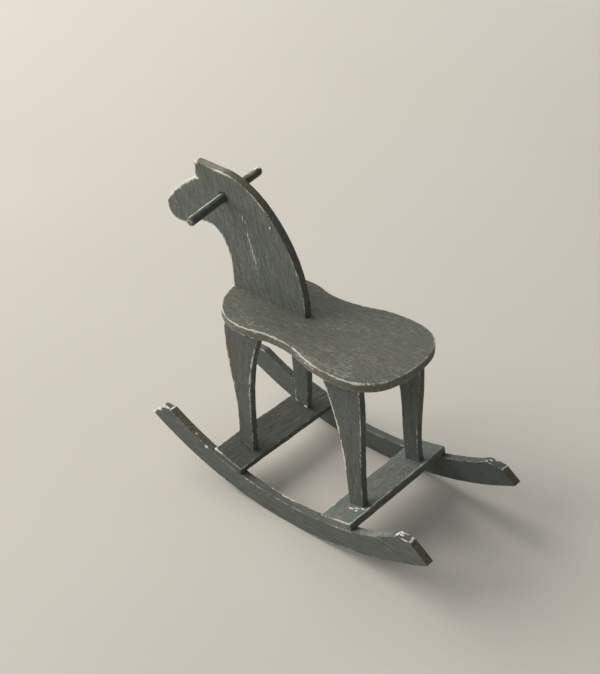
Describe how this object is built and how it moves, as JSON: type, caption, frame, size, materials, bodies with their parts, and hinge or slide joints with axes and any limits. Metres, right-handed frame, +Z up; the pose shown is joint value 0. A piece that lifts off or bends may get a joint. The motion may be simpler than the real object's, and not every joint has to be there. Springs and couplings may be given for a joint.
{
  "type": "rocking horse",
  "caption": "Miniature rocking horse cut from thin painted wood sheet: curved rockers joined by cross boards, leg boards, a flat seat, a horse-head board and a rod handle.",
  "frame": {"origin": "on the floor under the middle of the horse's overall length and width", "axes": "+X towards the nose, +Y to the horse's left, +Z up"},
  "size_m": [0.0768, 0.03, 0.0629],
  "materials": {
    "rocker": "matte grey-green brushed paint on wood, worn to cream wood along the edges",
    "cross_board": "matte grey-green brushed paint on wood, worn to cream wood along the edges",
    "leg": "matte grey-green brushed paint on wood, worn to cream wood along the edges",
    "seat": "matte grey-green brushed paint on wood, worn to cream wood along the edges",
    "head": "matte grey-green brushed paint on wood, worn to cream wood along the edges",
    "handle": "matte grey-green brushed paint on wood, worn to cream wood along the edges"
  },
  "bodies": {
    "root": {"left_rocker": "rocker", "right_rocker": "rocker", "front_cross_board": "cross_board", "rear_cross_board": "cross_board", "front_left_leg": "leg", "front_right_leg": "leg", "rear_left_leg": "leg", "rear_right_leg": "leg", "seat": "seat", "head_and_neck": "head", "handle": "handle"}
  },
  "joints": []
}
